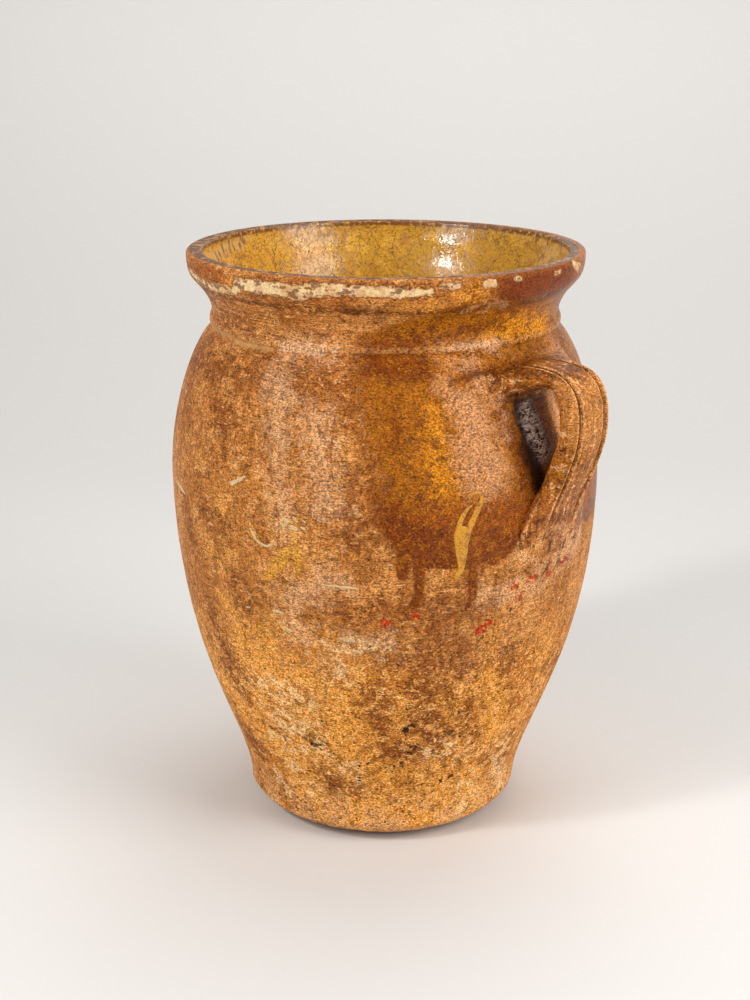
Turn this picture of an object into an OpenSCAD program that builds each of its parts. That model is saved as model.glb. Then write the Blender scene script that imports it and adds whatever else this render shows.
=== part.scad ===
// A turned terracotta storage jar with one strap handle, fired as a single piece of clay.
// Millimetres, +Z up. The origin is the centre of the foot, and +X points to the handle.

/* [Body] */
// Height from the table to the top of the rim
height = 300; // [270:1:340]
// Radius of the foot
foot_r = 73; // [62:1:84]
// Height of the worn bevel round the foot's edge
foot_bevel = 11; // [3:0.5:14]
// Radius of the flat that rests on the table
rest_r = 57; // [50:0.5:70]
// How far the foot's wall climbs nearly straight before it opens out
foot_rise = 33; // [10:1:40]
// Radius of the belly at its widest
belly_r = 111; // [100:1:124]
// Height of the belly's widest ring
belly_h = 185; // [150:1:200]
// How far below its widest ring the belly keeps its fullness
belly_drop = 100; // [60:1:120]
// How far above its widest ring the belly keeps its fullness
shoulder_rise = 37; // [20:1:50]

/* [Neck and rim] */
// Radius of the neck at its narrowest
neck_r = 88; // [76:0.5:94]
// Distance from the rim down to the crease where the neck meets the shoulder
neck_drop = 38; // [32:0.5:44]
// Height of the soft ring just above that crease
ring_h = 7; // [4:0.5:9]
// How far the soft ring stands out
ring_out = 0.9; // [0.3:0.1:1.5]
// Outer radius of the rim
rim_r = 100.5; // [94:0.5:112]
// Width of the flat land on top of the rim
land_w = 5; // [3:0.5:7]
// Height of the rim's outer band, down to the groove below it
band_h = 14; // [10:0.5:20]
// How far the foot of the band stands back from the rim's edge
band_back = 3.5; // [3:0.5:8]
// Rounding of the rim's two edges
lip_round = 1.5; // [0.5:0.25:2.5]
// Depth of the turned groove under the band
groove_depth = 1; // [0.2:0.1:1.5]

/* [Wall] */
// Thickness of the wall
wall = 7.5; // [6:0.5:10]
// Thickness of the floor
floor_t = 10; // [7:0.5:14]
// Radius of the curve between the floor and the wall inside
floor_round = 18; // [8:1:30]

/* [Handle] */
// Height of the strap's centre line where it leaves the wall at the top
handle_top = 249; // [240:1:256]
// Height where the strap's tail runs out on the wall
handle_low = 160; // [140:1:175]
// Height at which the strap stands furthest from the wall
handle_mid = 230; // [215:1:235]
// Free gap for the fingers between the wall and the strap
finger_gap = 18; // [12:1:28]
// Width of the strap
strap_w = 28; // [20:1:34]
// Thickness of the strap
strap_t = 11.5; // [8:0.5:14]
// Thickness of the strap where it bends over at the top
bend_t = 9; // [7:0.5:12]
// Width of the upper root, where the clay is pressed on the shoulder
root_w = 58; // [34:1:66]
// Width of the tail, where the clay is smeared down the belly
tail_w = 46; // [28:1:56]
// Thickness of the tail's end inside the wall
tail_t = 4.5; // [3:0.5:6]
// Place of the finger groove on one side of the strap's middle line
groove_a = -4.5; // [-8:0.5:-2]
// Place of the finger groove on the other side
groove_b = 8; // [2:0.5:10]
// Depth of both finger grooves
finger_groove = 1.3; // [0.5:0.1:2]

/* [Wear] */
// Radius of the balls that stand for chips
chip_r = 9; // [6:1:14]
// Depth of a chip on the rim's outer edge
rim_chip = 1.2; // [0.5:0.1:2]
// Depth of the chip on the foot's edge
foot_chip = 2.2; // [0.5:0.1:3]

/* [Hidden] */

turned_fn = 96;      // facets of the turned surfaces
curve_steps = 18;    // points on a long curve of the outline
short_steps = 8;     // points on a short curve of the outline
strap_steps = 24;    // sections along each half of the strap
section_fn = 36;     // points round the strap's section
squareness = 3;      // exponent of the strap's rounded section
end_shape = 1.7;     // the same exponent where the ends thin out against the wall
groove_w = 2;        // half width of a finger groove
chip_fn = 32;        // facets of a chip's ball

// Directions in degrees, counted from the handle, of the chips on the rim and the foot
rim_chips = [-88, -61, 31, 152, 228];
foot_chips = [-12, 96];

neck_h = height - neck_drop;
band_low = height - band_h;
throat_r = neck_r - wall;
mouth_r = rim_r - land_w - 2 * lip_round;

// Cubic curve from a to d, pulled towards b and c; its first point is left out.
function curve(a, b, c, d, steps) = [
    for (i = [1 : steps])
        let (t = i / steps, u = 1 - t)
            u * u * u * a + 3 * u * u * t * b + 3 * u * t * t * c + t * t * t * d
];

// Round corner about a centre, from one angle to another.
function arc(centre, r, from, to, steps) = [
    for (i = [0 : steps])
        let (a = from + (to - from) * i / steps) centre + r * [cos(a), sin(a)]
];

// The turned wall from the top of the foot to the neck, moved in by inset.
function wall_curve(inset, low, rise) = concat(
    curve(
        [foot_r - inset, low],
        [foot_r - inset, low + rise],
        [belly_r - inset, belly_h - belly_drop],
        [belly_r - inset, belly_h],
        curve_steps
    ),
    curve(
        [belly_r - inset, belly_h],
        [belly_r - inset, belly_h + shoulder_rise],
        [neck_r - inset + 9, neck_h - 6],
        [neck_r - inset, neck_h],
        curve_steps
    )
);

// The soft ring, the hollow neck, the groove and the flared band, up to the edge of the land.
rim_outside = concat(
    curve(
        [neck_r, neck_h],
        [neck_r + ring_out * 1.33, neck_h + ring_h * 0.2],
        [neck_r + ring_out * 1.33, neck_h + ring_h * 0.7],
        [neck_r, neck_h + ring_h],
        short_steps
    ),
    curve(
        [neck_r, neck_h + ring_h],
        [neck_r, neck_h + ring_h + 5],
        [rim_r - band_back - 6, band_low - 6],
        [rim_r - band_back - groove_depth, band_low - 1],
        short_steps
    ),
    curve(
        [rim_r - band_back, band_low + 0.4],
        [rim_r - 0.5, band_low + 3],
        [rim_r, band_low + 7],
        [rim_r, height - lip_round],
        short_steps
    ),
    arc([rim_r - lip_round, height - lip_round], lip_round, 15, 90, 4)
);

// The mouth inside, from the edge of the land down to the throat.
rim_inside = concat(
    arc([mouth_r + lip_round, height - lip_round], lip_round, 90, 180, 4),
    curve(
        [mouth_r, height - lip_round],
        [mouth_r - 1, height - 12],
        [throat_r, neck_h + 18],
        [throat_r, neck_h],
        short_steps
    )
);

// The foot's edge outside, and the round between the floor and the wall inside
foot_edge = concat(
    [[rest_r, 0]],
    curve(
        [rest_r, 0],
        [rest_r + 5, 1.5],
        [foot_r - 1, foot_bevel * 0.5],
        [foot_r, foot_bevel],
        short_steps
    )
);
floor_corner = foot_r - wall - floor_round;
floor_edge = arc([floor_corner, floor_t + floor_round], floor_round, -90, 0, short_steps);

outer_wall = concat(foot_edge, wall_curve(0, foot_bevel, foot_rise));
inner_wall = concat(floor_edge, wall_curve(wall, floor_t + floor_round, foot_rise * 0.35));
inner_down = [for (i = [len(inner_wall) - 2 : -1 : 0]) inner_wall[i]];

// Radius of the turned wall outside at a height
function wall_r(z) = lookup(z, [for (p = outer_wall) [p.y, p.x]]);

module turned_wall() {
    rotate_extrude($fn = turned_fn)
        polygon(concat([[0, 0]], outer_wall, rim_outside, rim_inside, inner_down, [[0, floor_t]]));
}

// The strap's centre line: over the top to its furthest point, then down to its tail.
reach = wall_r(handle_mid) + finger_gap + strap_t / 2;
root_start = wall_r(handle_top) - wall * 0.75;
tail_end = wall_r(handle_low) - tail_t / 2 - 0.4;
strap_line = concat(
    [[root_start, handle_top]],
    curve(
        [root_start, handle_top],
        [reach - 8, handle_top + 5],
        [reach, handle_top + 4],
        [reach, handle_mid],
        strap_steps
    ),
    curve(
        [reach, handle_mid],
        [reach, handle_mid - 15],
        [wall_r(handle_low) + 2.5, handle_low + 34],
        [tail_end, handle_low],
        strap_steps
    )
);
strap_n = len(strap_line);

function clamped(x) = min(max(x, 0), 1);
function eased(x) = clamped(x) * clamped(x) * (3 - 2 * clamped(x));
function share(i) = i / (strap_n - 1);

// How much a section belongs to the upper root, the bend, and the tail
function rootness(i) = 1 - eased(share(i) / 0.22);
function bendness(i) = 1 - eased(abs(share(i) - 0.2) / 0.25);
function tailness(i) = eased((share(i) - 0.72) / 0.28);

function strap_width(i) = strap_w + (root_w - strap_w) * rootness(i) + (tail_w - strap_w) * tailness(i);
function strap_thick(i) = strap_t + (bend_t - strap_t) * bendness(i) + (tail_t - strap_t) * tailness(i);

// Direction of travel, and the side that faces away from the fingers
function travel(i) =
    let (d = strap_line[min(i + 1, strap_n - 1)] - strap_line[max(i - 1, 0)]) d / norm(d);
function outward(i) = let (d = travel(i)) [-d.y, d.x];

// Relief of the finger grooves at a place across the strap, fading out at both ends
function groove(across, place) = exp(-pow((across - place) / groove_w, 2));
function relief(across, i) =
    -finger_groove * (groove(across, groove_a) + groove(across, groove_b))
        * (1 - rootness(i)) * (1 - tailness(i));

function rounded(x, i) =
    let (e = squareness + (end_shape - squareness) * max(rootness(i), tailness(i)))
        sign(x) * pow(abs(x), 2 / e);

// One point of a section. At both ends the section bends to lie along the round wall.
function strap_point(i, k) =
    let (
        a = 360 * k / section_fn,
        across = strap_width(i) / 2 * rounded(cos(a), i),
        out = strap_thick(i) / 2 * rounded(sin(a), i) + (sin(a) > 0 ? relief(across, i) : 0),
        centre = strap_line[i] + out * outward(i),
        wrap = max(rootness(i), tailness(i)) * across * across / (2 * strap_line[i].x)
    ) [centre.x - wrap, across, centre.y];

module strap() {
    points = [for (i = [0 : strap_n - 1], k = [0 : section_fn - 1]) strap_point(i, k)];
    sides = [
        for (i = [0 : strap_n - 2], k = [0 : section_fn - 1])
            let (
                a = i * section_fn + k,
                b = i * section_fn + (k + 1) % section_fn
            ) each [[a, b + section_fn, b], [a, a + section_fn, b + section_fn]]
    ];
    first = [for (k = [0 : section_fn - 1]) k];
    last = [for (k = [section_fn - 1 : -1 : 0]) (strap_n - 1) * section_fn + k];
    polyhedron(points, concat([first], sides, [last]));
}

// A shallow chip: a ball that only just bites into an edge at radius r and height z.
module chip(angle, r, z, depth) {
    rotate([0, 0, angle])
        translate([r + (chip_r - depth) * 0.8, 0, z + (chip_r - depth) * 0.6 * sign(z - belly_h)])
            sphere(r = chip_r, $fn = chip_fn);
}

module jar() {
    color("peru")
        difference() {
            union() {
                turned_wall();
                strap();
            }
            for (angle = rim_chips)
                chip(angle, rim_r - lip_round * 0.5, height - lip_round * 0.5, rim_chip);
            for (angle = foot_chips)
                chip(angle, foot_r - 5, foot_bevel * 0.4, foot_chip);
        }
}

jar();
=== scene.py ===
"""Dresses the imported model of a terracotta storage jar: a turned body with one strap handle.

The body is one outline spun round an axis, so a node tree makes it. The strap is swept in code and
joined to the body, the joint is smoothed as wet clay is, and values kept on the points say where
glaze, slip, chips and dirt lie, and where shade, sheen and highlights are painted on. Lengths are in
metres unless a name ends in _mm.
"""
import math

import bmesh
import bpy
import numpy as np
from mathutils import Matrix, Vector, noise
from mathutils.bvhtree import BVHTree


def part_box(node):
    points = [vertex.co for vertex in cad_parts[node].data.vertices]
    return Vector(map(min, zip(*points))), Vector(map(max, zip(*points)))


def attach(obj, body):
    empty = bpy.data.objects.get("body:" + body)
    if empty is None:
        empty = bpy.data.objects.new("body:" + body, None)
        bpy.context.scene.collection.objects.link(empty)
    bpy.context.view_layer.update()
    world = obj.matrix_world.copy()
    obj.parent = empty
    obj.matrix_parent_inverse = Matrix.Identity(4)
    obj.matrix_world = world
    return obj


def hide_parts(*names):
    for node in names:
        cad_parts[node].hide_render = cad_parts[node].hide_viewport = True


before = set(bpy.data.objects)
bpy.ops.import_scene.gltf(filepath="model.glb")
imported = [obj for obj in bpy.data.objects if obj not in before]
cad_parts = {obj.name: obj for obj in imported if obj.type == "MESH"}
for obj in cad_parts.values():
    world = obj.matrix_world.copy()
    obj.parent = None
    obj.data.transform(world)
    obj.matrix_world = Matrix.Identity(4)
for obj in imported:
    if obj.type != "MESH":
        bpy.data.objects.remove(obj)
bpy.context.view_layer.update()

bl_info = {
    "name": "Terracotta storage jar",
    "version": (1, 0, 0),
    "blender": (4, 5, 0),
    "location": "3D View > Sidebar > Jar",
    "description": "A turned earthenware jar with a strap handle, thin amber glaze and years of wear",
    "category": "Add Mesh",
}

MM = 0.001
FRONT = -46.0        # direction, in degrees from the handle, of the side that the photograph shows
RIGHT = math.radians(FRONT + 90)     # direction to the right as seen from that side
ARC_MM = 100         # radius, in mm, at which angles are turned into lengths round the wall
DEGREE_MM = 1.75     # the length of one degree there
FAR_MM = 40          # a map of distances goes no further than this


def linear(code):
    """An sRGB hex colour as linear red, green, blue and alpha."""
    parts = [int(code[i : i + 2], 16) / 255 for i in (1, 3, 5)]
    return tuple(p / 12.92 if p <= 0.04045 else ((p + 0.055) / 1.055) ** 2.4 for p in parts) + (1.0,)


# ---- sizes and colours that a user would change


def length(name, description, default):
    """A size in metres that a user may change."""
    return bpy.props.FloatProperty(
        name=name, description=description, default=default, unit="LENGTH", subtype="DISTANCE"
    )


def colour(name, description, code):
    """A colour that a user may change."""
    return bpy.props.FloatVectorProperty(
        name=name, description=description, default=linear(code), size=4, min=0, max=1, subtype="COLOR"
    )


class JarShape(bpy.types.PropertyGroup):
    height: length("Height", "From the table to the top of the rim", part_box("jar")[1].z)
    foot_r: length("Foot radius", "Radius of the foot above its worn edge", 0.073)
    rest_r: length("Resting radius", "Radius of the flat that touches the table", 0.057)
    foot_bevel: length("Foot bevel", "Height of the worn bevel round the foot", 0.011)
    foot_rise: length("Foot rise", "How far the wall climbs before it opens out", 0.033)
    belly_r: length("Belly radius", "Radius of the belly at its widest", 0.111)
    belly_h: length("Belly height", "Height of the widest ring", 0.185)
    belly_drop: length("Belly drop", "How far down the belly keeps its fullness", 0.1)
    shoulder_rise: length("Shoulder rise", "How far up the belly keeps its fullness", 0.037)
    neck_r: length("Neck radius", "Radius of the neck at its narrowest", 0.088)
    neck_drop: length("Neck drop", "From the rim down to the crease under the neck", 0.038)
    ring_h: length("Ring height", "Height of the soft ring above that crease", 0.007)
    ring_out: length("Ring relief", "How far the soft ring stands out", 0.0018)
    rim_r: length("Rim radius", "Outer radius of the rim", 0.1005)
    land_w: length("Land width", "Width of the flat on top of the rim", 0.005)
    band_h: length("Band height", "Height of the rim's outer band", 0.014)
    band_back: length("Band setback", "How far the foot of the band stands back", 0.0035)
    lip_round: length("Lip rounding", "Rounding of the rim's two edges", 0.0015)
    groove_depth: length("Groove depth", "Depth of the turned groove under the band", 0.001)
    wall: length("Wall", "Thickness of the wall", 0.0075)
    floor_t: length("Floor", "Thickness of the floor", 0.01)
    floor_round: length("Floor rounding", "Curve between the floor and the wall inside", 0.018)
    out_of_round: length("Out of round", "How far the turned wall strays from a true circle", 0.0005)
    throwing: length("Throwing rings", "Depth of the rings that fingers leave", 0.00006)
    lean: length("Lean", "How far the rim stands off the axis", 0.0014)
    columns: bpy.props.IntProperty(
        name="Columns", description="Points round the wall", default=300, min=48, max=400
    )


class StrapShape(bpy.types.PropertyGroup):
    top: length("Upper root", "Height of the strap's middle line on the shoulder", 0.249)
    low: length("Tail", "Height where the tail runs out on the belly", 0.16)
    mid: length("Furthest point", "Height at which the strap stands furthest out", 0.23)
    gap: length("Finger gap", "Free space between the wall and the strap", 0.0165)
    width: length("Width", "Width of the strap", 0.028)
    thick: length("Thickness", "Thickness of the strap at the side", 0.013)
    bend: length("Bend thickness", "Thickness of the strap where it bends over", 0.009)
    root_w: length("Root width", "Width of the clay pressed on the shoulder", 0.058)
    tail_w: length("Tail width", "Width of the clay smeared down the belly", 0.046)
    tail_t: length("Tail thickness", "Thickness of the tail's end", 0.0045)
    groove_a: length("Groove on one side", "Distance of one finger groove from the middle", -0.0092)
    groove_b: length("Groove on the other side", "Distance of the other groove from the middle", 0.0085)
    groove_d: length("Groove depth", "Depth of both finger grooves", 0.0016)
    fillet: length("Fillet", "Size of the smeared joint outside the strap", 0.014)
    fillet_in: length("Inner fillet", "Size of the joint inside the finger gap", 0.005)


class JarColours(bpy.types.PropertyGroup):
    clay: colour("Fired clay", "Warm brown body of the wall", "#B4702F")
    amber: colour("Amber glaze", "Thin lead glaze over the shoulder", "#9A5606")
    pooled: colour("Pooled glaze", "The same glaze where it ran and gathered", "#722F00")
    slip: colour("Ochre slip", "Drip of thick slip", "#D6941A")
    cream: colour("Cream slip", "Flaked slip round the rim", "#DCC08D")
    rim_skin: colour("Rim skin", "Dark skin of the rim's land", "#5E4230")
    inside: colour("Yellow glaze", "Glaze inside the jar", "#E4A030")
    inside_deep: colour("Olive glaze", "The same glaze where it is thick", "#BC8A28")
    floor: colour("Table", "Plain floor", "#DFDDDA")
    backdrop: colour("Backdrop", "Plain backdrop", "#ECEAE7")


# ---- marks on the wall, with angles in degrees from the handle, and heights and half widths in mm

# the lower edge of the glaze as angle and height, its left edge as height and angle, and its right edge
GLAZE_LOW = (
    (-60, 192), (-50, 190), (-47, 186), (-44, 178), (-41, 174), (-39, 170), (-37, 167), (-33, 167),
    (-30, 165), (-24, 164), (-21, 167), (-18, 164), (-14, 169), (-10, 171), (-7, 178), (-4, 180), (10, 176),
    (20, 168), (35, 172), (50, 186), (62, 215),
)
GLAZE_LEFT = ((180, -48), (214, -48), (233, -52), (252, -54), (272, -55), (285, -30), (300, -25))
GLAZE_RIGHT = 64
# each mark runs from one angle and height to another, with its half width last
DRIPS = (
    (-47.2, 204, -47.2, 190, 3.0), (-41.5, 180, -41.4, 164, 2.8), (-38.2, 172, -37.4, 158, 2.8),
    (-37.4, 158, -38.3, 148, 2.2), (-24.5, 168, -23.5, 150, 2.2), (-23.5, 150, -24.7, 144, 1.3),
)
MARKS = {
    # pooled glaze; the marks close under the strap's arch and down the left of the finger gap are painted
    # shade
    "pools_and_shade": (
        (-45, 186, -33, 180, 8), (-41.5, 180, -41.5, 163, 4), (-38, 166, -38, 148, 3),
        (-36, 176, -26, 168, 7), (-46, 200, -42, 192, 5), (-20, 178, -12, 174, 6), (-54, 266, -38, 269, 6),
        (-50, 257, -34, 257, 5), (-24, 252, -8, 254, 2), (-32, 270, -14, 274, 3), (-11, 291, 0, 291, 9),
        (0, 292, 13, 292, 9), (-14, 244, -9, 206, 5), (-44, 240, -43, 224, 3), (-15, 243, -4, 247, 4),
    ),
    # painted sheen: pale pinkish patches that paint the lamps' soft reflection on the glaze, and painted
    # highlights along the ring under the neck and under the rim
    "painted_sheen": (
        (-24, 240, -19, 208, 10), (-26, 226, -22, 204, 7), (-30, 266.5, -9, 265, 2.5),
        (-28, 290, -16, 288, 3), (-14, 268, -6, 264, 3), (8, 250, 20, 256, 5), (-30, 250, -26, 240, 4),
        (-28, 260, -18, 259, 3), (-32, 276, -22, 277, 3), (-20, 248, -15, 240, 4), (-14, 240, -13, 226, 2),
    ),
    "wash": ((-76, 158, -70.5, 171.5, 3.0), (-68.6, 186, -67.2, 161.5, 2.0)),
    "cream": (
        (-128, 294, -116, 291, 1.7), (-116, 291, -104, 288.4, 2.1), (-104, 288.4, -93, 289, 1.9),
        (-91, 289.6, -87, 293, 1.6), (-89, 293.5, -68, 293, 3.0), (-68, 293, -56, 294.5, 1.5),
        (-67, 296, -56, 296.6, 1.0), (-55, 294.8, -42, 294, 2.2), (-42, 294, -34, 294.4, 1.4),
        (-31.4, 296.6, -27, 297, 1.4), (-18.6, 296.6, -16.8, 296.6, 1.5), (-9.6, 297, -8, 297, 0.8),
        (17.6, 298, 23, 295, 1.7), (6.6, 296.6, 8.4, 296.6, 1.0), (150, 294, 175, 296, 1.5),
        (-125, 263.5, -103, 263, 0.9), (-100, 262, -84, 262, 1.2),
    ),
    "gold": (
        (-52, 66, -49, 58, 4), (-13, 269, 2, 269, 4), (4, 120, 8, 104, 5), (-64, 44, -60, 38, 4),
        (-69, 82, -68, 74, 4), (-66, 118, -64, 110, 4), (15, 180, 17, 172, 5), (-58, 130, -53, 108, 5),
        (-54, 44, -48, 38, 4), (-77, 205, -72, 180, 4), (-92, 190, -90, 165, 5), (-60, 82, -48, 78, 5),
        (-50, 56, -44, 40, 6), (-66, 130, -62, 120, 4), (-92, 140, -84, 124, 6), (-62, 84, -55, 74, 6),
        (-70, 52, -56, 38, 6), (-50, 108, -46, 96, 4), (-16, 20, -8, 10, 6), (-88, 112, -78, 98, 12),
        (-72, 108, -58, 94, 9), (-92, 60, -80, 50, 9), (-78, 34, -70, 20, 10), (-74, 132, -70, 126, 6),
        (-60, 22, -54, 14, 6), (-14, 40, -4, 18, 9), (-13, 100, -7, 60, 8), (-28, 34, -20, 22, 8),
        (-110, 90, -100, 68, 9), (-64, 66, -55, 56, 7), (-88, 132, -78, 120, 7), (-72, 182, -67, 160, 6),
        (-98, 165, -90, 150, 7), (-4, 274, 14, 268, 5), (-33, 206, -31, 200, 3), (-33, 238, -32, 208, 4),
        (-58, 30, -40, 14, 8), (-84, 44, -76, 30, 7), (-34, 16, -20, 10, 6), (-26, 292, -16, 292, 3.5),
        (-60, 72, -56, 62, 6), (-24, 72, -20, 60, 7), (-87, 146, -82, 138, 6), (-76, 134, -70, 128, 6),
        (-104, 176, -100, 164, 5), (-92, 293, -86, 296, 2), (-40, 286, -32, 288, 3), (30, 70, 50, 50, 12),
        (120, 90, 140, 60, 14), (-160, 80, -140, 50, 14), (180, 60, 160, 40, 12), (80, 50, 100, 30, 12),
    ),
    # paler clay; some marks are painted light: a sheen down the left of the belly, a highlight along the
    # ring under the neck, a sheen under the rim's band, and lighter patches on the wall and tail where the
    # strap casts shade
    "pale": (
        (-21, 286.5, -12, 286.5, 4), (-94, 32, -88, 22, 5), (2, 46, 14, 14, 8), (-2, 182, 8, 162, 9),
        (-78, 250, -73, 238, 8), (-80, 40, -74, 26, 6), (-72, 62, -68, 50, 5), (0, 168, 8, 160, 5),
        (0, 192, 4, 168, 4), (-58, 124, -46, 128, 6), (-71, 136, -66, 126, 6), (-84, 96, -70, 90, 8),
        (-82, 76, -68, 66, 10), (-60, 118, -58, 110, 6), (-20, 150, -2, 146, 6), (-70, 146, -59, 160, 8),
        (-30, 60, -18, 56, 7), (-68, 60, -56, 46, 6), (-84, 60, -74, 56, 6), (-2, 152, 12, 158, 6),
        (-64, 160, -56, 156, 5), (-76, 246, -71, 180, 6), (-64, 236, -60, 196, 7),
        (-77, 264, -63, 264.5, 5), (-26, 266.5, -12, 266, 4), (-14, 12, -8, 20, 7), (-12, 34, -8, 30, 5),
        (1, 238, 3, 220, 4), (0, 190, 4, 150, 4), (10, 196, 12, 160, 3), (102, 112, 106, 100, 6),
        (174, 150, 172, 128, 6), (-140, 152, -137, 134, 6), (46, 108, 54, 104, 5), (84, 196, 86, 176, 5),
        (152, 226, 150, 206, 5), (-158, 160, -156, 140, 4),
    ),
    # dark stains; the bands just under the ring at the neck's foot and the mark under the strap's arch are
    # painted shade
    "stain_and_shade": (
        (-84, 258, -64, 260, 4), (-14, 243, -6, 246, 4), (-110, 175, -106, 160, 5), (-54, 132, -52, 124, 4),
        (-48, 100, -46, 92, 5), (-66, 250, -54, 252, 5), (-33, 200, -28, 196, 4), (-42, 262, -30, 278, 4),
        (-30, 60, -24, 76, 4), (-49, 88, -46, 76, 6), (-36, 122, -24, 112, 8), (-35, 112, -32, 66, 8),
        (-34, 140, -24, 116, 8), (-52, 128, -44, 122, 8), (-54, 210, -53, 178, 6), (-103, 249, -58, 256, 4),
        (-57, 254, -55, 240, 6), (-50, 236, -49, 205, 4), (-66, 40, -58, 34, 7), (-88, 150, -84, 138, 7),
        (-100, 182, -92, 176, 5), (-104, 46, -98, 40, 6), (-96, 232, -92, 226, 7), (-98, 106, -94, 96, 6),
        (-12, 116, -8, 104, 5), (-22, 80, -20, 70, 5), (-44, 62, -30, 60, 7), (-57, 148, -55, 142, 5),
        (-46, 147, -20, 142, 7), (-74, 256, -48, 257, 6), (-101, 130, -98, 92, 5), (-112, 272, -92, 270, 5),
        (-118, 292, -96, 293, 3), (-70, 44, -64, 30, 5), (-92, 22, -80, 16, 5), (62, 120, 66, 90, 9),
        (74, 150, 78, 136, 7), (142, 186, 138, 158, 9), (165, 120, 168, 100, 8), (-152, 118, -150, 90, 9),
        (-166, 214, -163, 190, 8), (112, 226, 116, 204, 8), (92, 70, 98, 50, 7), (176, 246, -170, 248, 5),
        (-134, 206, -131, 180, 7), (122, 140, 126, 128, 6), (-140, 60, -132, 44, 7),
    ),
    "soot": (
        (-71, 63, -65, 61, 6.5), (-43, 74, -37, 78, 6), (-36, 62, -40, 52, 6), (-86, 66, -80, 60, 5),
        (-26, 70, -20, 66, 5), (-12, 138, -6, 130, 4), (-33, 150, -26, 140, 3), (-88, 150, -84, 140, 4),
        (-56, 44, -48, 40, 4), (-20, 40, -28, 34, 5), (-72, 96, -66, 102, 4), (-101, 46, -96, 40, 4),
    ),
    "rust": (
        (-18.6, 133, -17.8, 133.6, 1.3), (-13.6, 140.4, -12.8, 141, 0.9), (-10, 143, -9, 144, 1.0),
        (-12, 150, -11, 150.6, 1.2), (-7, 152, -5.4, 152.6, 1.4), (-0.4, 152.4, 1.2, 153.4, 1.6),
        (5.6, 155, 7.4, 157, 1.3), (-46, 139, -45.4, 139.4, 1.5), (-38, 142, -37.4, 143, 1.2),
        (-21, 131, -17, 134, 1.2), (37, 114, 38, 122, 1.4), (39, 128, 39.6, 138, 1.5),
    ),
    # painted shade: a dark line over the strap's upper root
    "crease": ((-27.7, 251, -18.3, 254, 0.9), (-18.3, 254, -7.3, 255, 1.2), (-7.3, 255, 6.5, 254.6, 1.2)),
    # the finger gap: dust, with painted shade round it, and the dust painted lighter than the gap's shade
    # would show it
    "dust_and_shade": ((-6, 233, -3, 215, 5),),
    "shade": (
        (-11, 243.5, -2, 243.5, 1.6), (-9.6, 240, -8.6, 222, 2.2), (-8.2, 218, -5, 206, 4),
        (-5.5, 206, -3.5, 197, 5),
    ),
    # painted light: a lit patch on the wall behind the strap, inside the strap's shade
    "pressed": ((3.6, 241, 6.6, 220, 3.6),),
    "worn": (
        (-130, 296, -152, 292, 3.0), (-152, 293, -170, 294, 2.6), (-170, 296, -179, 298, 1.2),
        (66, 290, 55, 296, 3.4), (55, 297, 30, 299, 2.4), (100, 299, 66, 296, 1.2),
    ),
}
# raised slip: each run goes through points of angle, height and half width
SLIP_RUN = (
    ((-28.1, 160.6, 0.9), (-27.7, 162.3, 1.5), (-26.9, 166, 1.5), (-27, 171.5, 2.4), (-27.1, 178.5, 3.3),
     (-26.9, 183, 3.4), (-26.4, 186, 2.4)),
    ((-25.6, 182, 1.6), (-25.2, 184.7, 1.4), (-24.1, 189.2, 1.4), (-22.9, 193.8, 1.2), (-21.8, 198, 0.9),
     (-22, 200.6, 0.8), (-23.3, 201.7, 0.6), (-24.6, 200.9, 0.5), (-25.3, 198.6, 0.4)),
    ((-28, 182, 1.7), (-27.6, 188.5, 1.2), (-26.5, 192.1, 0.9), (-25.5, 194.8, 0.6), (-24.4, 195.8, 0.4)),
    ((-28.6, 160.4, 1.3), (-27.8, 160.8, 1.3)),
    ((-31, 161.5, 1.2), (-30.5, 161.8, 1.2)),
)
CREAM_FLECKS = (
    ((-81.2, 180, 0.5), (-79.4, 174.7, 0.6), (-77.6, 173, 0.6), (-75.9, 172.9, 0.6), (-73.8, 175.1, 0.4)),
    ((-87.9, 199.3, 1.3), (-85.1, 202.2, 0.9), (-82.9, 204.9, 0.4)),
    ((-118, 186.5, 0.7), (-113.6, 184.8, 1.2), (-110.2, 184, 0.6)),
    ((-84.4, 213.4, 0.8), (-83.6, 212.6, 0.8)),
    ((-71.2, 187.8, 1.2), (-69.6, 186.6, 0.9)), ((-69.4, 184.6, 1.3), (-67.4, 183.6, 0.8)),
    ((-72, 185.4, 0.6), (-70.8, 184.2, 0.8)), ((-66.6, 185.2, 0.5), (-65.4, 184, 0.7)),
    ((-68.6, 189.4, 0.6), (-67.8, 188.2, 0.6)), ((-66.2, 188.4, 0.4), (-65.2, 187.6, 0.4)),
    ((-75.8, 139.3, 0.4), (-74, 139.8, 0.8), (-72.4, 139, 0.4)),
    ((-73.6, 131.6, 0.4), (-71.8, 130.6, 0.9), (-70.2, 130.2, 0.5)),
    ((-57.8, 129.6, 0.4), (-55.6, 128.8, 1.1), (-53.4, 128.4, 0.5)),
    ((-61.2, 157.3, 0.3), (-57, 157.1, 0.5), (-52.4, 156.6, 0.4)),
    ((-54.2, 122.6, 0.5), (-52.4, 122.9, 0.8)), ((-84.6, 137.6, 0.4), (-83, 138, 0.6)),
    ((-67.8, 118.6, 0.4), (-66.2, 118.2, 0.6)),
)

# ---- outline of the turned body


def curve(a, b, c, d, steps):
    """Cubic curve from a to d, pulled towards b and c; its first point is left out."""
    t = (np.arange(1, steps + 1) / steps)[:, None]
    u = 1 - t
    a, b, c, d = (np.array(p, float) for p in (a, b, c, d))
    return list(u**3 * a + 3 * u * u * t * b + 3 * u * t * t * c + t**3 * d)


def arc(centre, r, start, end, steps):
    """Part of a circle between two angles in degrees."""
    a = np.radians(np.linspace(start, end, steps + 1))
    return list(np.array(centre, float) + r * np.stack([np.cos(a), np.sin(a)], 1))


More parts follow.
